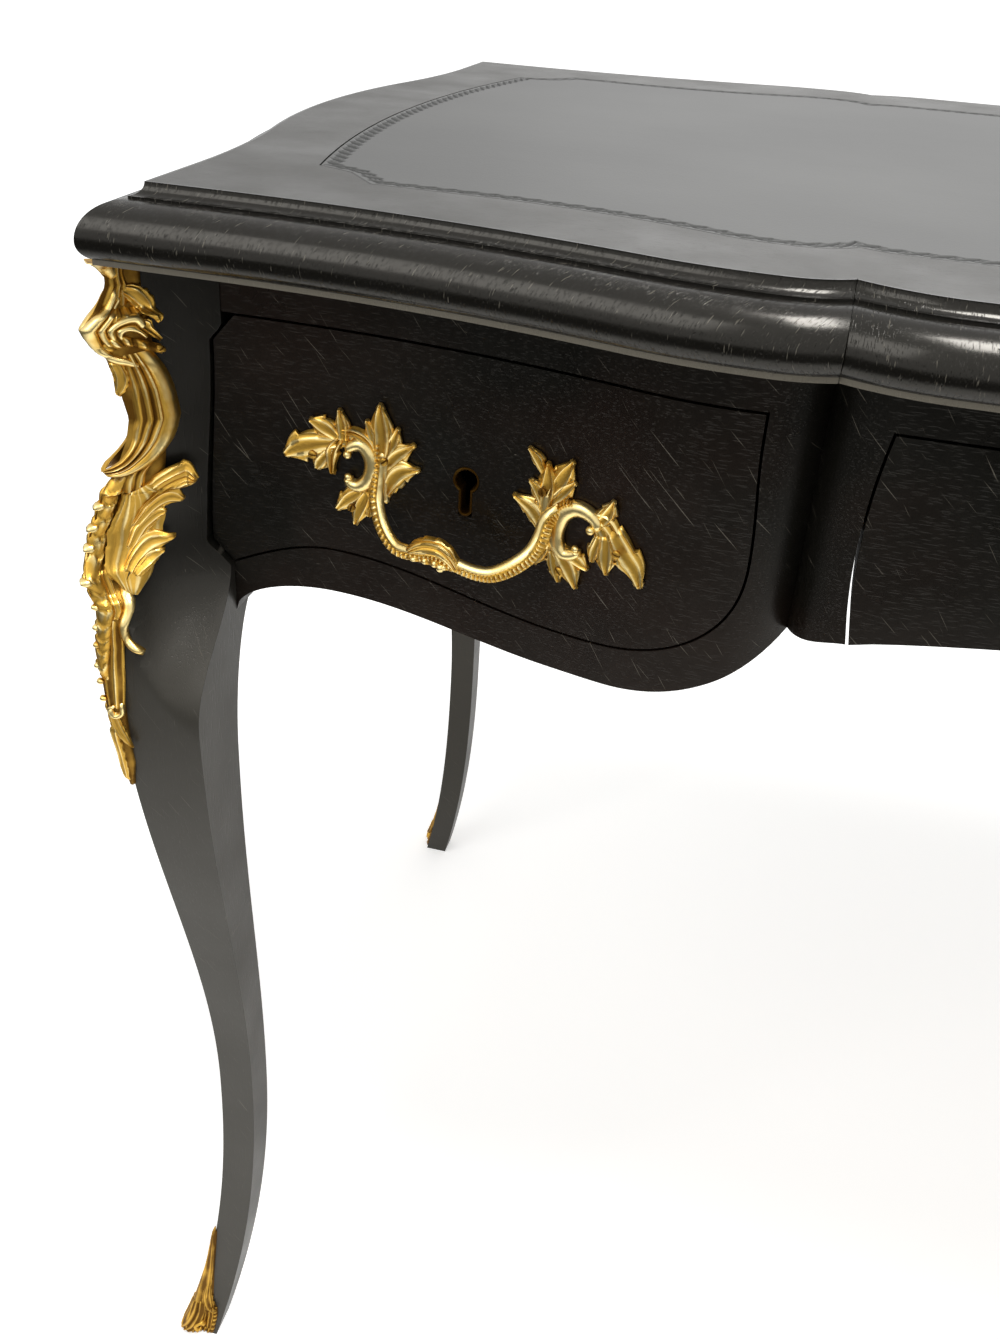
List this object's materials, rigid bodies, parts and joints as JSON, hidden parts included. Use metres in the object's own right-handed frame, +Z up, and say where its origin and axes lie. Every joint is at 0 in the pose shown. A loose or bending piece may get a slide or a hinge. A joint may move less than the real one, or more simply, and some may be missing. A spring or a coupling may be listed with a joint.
{
  "type": "writing table",
  "caption": "Serpentine writing table with a leather-lined top, drawers in the apron, black lacquered cabriole legs and cast brass corner mounts",
  "frame": {"origin": "on the floor, under the middle of the top", "axes": "+X to the right along the width as seen from the front, +Y to the back, +Z up"},
  "size_m": [1.208, 0.635, 0.77],
  "materials": {
    "top_lacquer": "black lacquered wood, satin",
    "leather": "black leather with a blind tooled border",
    "black_lacquer": "black lacquered wood with open grain, semi-gloss",
    "drawer_oak": "plain oak, waxed",
    "gilt_brass": "cast and chased brass with dark patina in the hollows",
    "brass_screws": "turned brass",
    "bush_brass": "worn brass",
    "lock_steel": "plain steel"
  },
  "bodies": {
    "table_frame": {"top_panel": "top_lacquer", "leather_surface": "leather", "left_moulding": "black_lacquer", "right_moulding": "black_lacquer", "front_left_moulding": "black_lacquer", "front_centre_moulding": "black_lacquer", "front_right_moulding": "black_lacquer", "back_left_moulding": "black_lacquer", "back_centre_moulding": "black_lacquer", "back_right_moulding": "black_lacquer", "front_left_leg": "black_lacquer", "front_right_leg": "black_lacquer", "back_left_leg": "black_lacquer", "back_right_leg": "black_lacquer", "front_left_mount": "gilt_brass", "front_right_mount": "gilt_brass", "back_left_mount": "gilt_brass", "back_right_mount": "gilt_brass", "front_left_sabot": "gilt_brass", "front_right_sabot": "gilt_brass", "back_left_sabot": "gilt_brass", "back_right_sabot": "gilt_brass", "left_apron": "black_lacquer", "right_apron": "black_lacquer", "back_apron": "black_lacquer", "front_upper_rail": "black_lacquer", "left_lower_rail": "black_lacquer", "right_lower_rail": "black_lacquer", "left_partition": "drawer_oak", "right_partition": "drawer_oak", "drawer_runners": "drawer_oak", "mount_screws": "brass_screws"},
    "left_drawer": {"left_drawer_front": "black_lacquer", "left_drawer_outer_side": "drawer_oak", "left_drawer_inner_side": "drawer_oak", "left_drawer_back": "drawer_oak", "left_drawer_bottom": "drawer_oak", "left_pull": "gilt_brass", "left_pull_screws": "brass_screws", "left_lock_case": "lock_steel", "left_keyhole_bush": "bush_brass"},
    "centre_drawer": {"centre_drawer_front": "black_lacquer", "centre_drawer_left_side": "drawer_oak", "centre_drawer_right_side": "drawer_oak", "centre_drawer_back": "drawer_oak", "centre_drawer_bottom": "drawer_oak", "centre_lock_case": "lock_steel", "centre_keyhole_bush": "bush_brass"},
    "right_drawer": {"right_drawer_front": "black_lacquer", "right_drawer_outer_side": "drawer_oak", "right_drawer_inner_side": "drawer_oak", "right_drawer_back": "drawer_oak", "right_drawer_bottom": "drawer_oak", "right_pull": "gilt_brass", "right_pull_screws": "brass_screws", "right_lock_case": "lock_steel", "right_keyhole_bush": "bush_brass"},
    "left_bolt": {"left_lock_bolt": "lock_steel"},
    "centre_bolt": {"centre_lock_bolt": "lock_steel"},
    "right_bolt": {"right_lock_bolt": "lock_steel"}
  },
  "joints": [
    {"name": "left_drawer_slide", "type": "slide", "parent": "table_frame", "child": "left_drawer", "axis": [0, -1, 0], "range_m": [0, 0.3]},
    {"name": "centre_drawer_slide", "type": "slide", "parent": "table_frame", "child": "centre_drawer", "axis": [0, -1, 0], "range_m": [0, 0.3]},
    {"name": "right_drawer_slide", "type": "slide", "parent": "table_frame", "child": "right_drawer", "axis": [0, -1, 0], "range_m": [0, 0.3]},
    {"name": "left_bolt_slide", "type": "slide", "parent": "left_drawer", "child": "left_bolt", "axis": [0, 0, 1], "range_m": [0, 0.008]},
    {"name": "centre_bolt_slide", "type": "slide", "parent": "centre_drawer", "child": "centre_bolt", "axis": [0, 0, 1], "range_m": [0, 0.008]},
    {"name": "right_bolt_slide", "type": "slide", "parent": "right_drawer", "child": "right_bolt", "axis": [0, 0, 1], "range_m": [0, 0.008]}
  ]
}
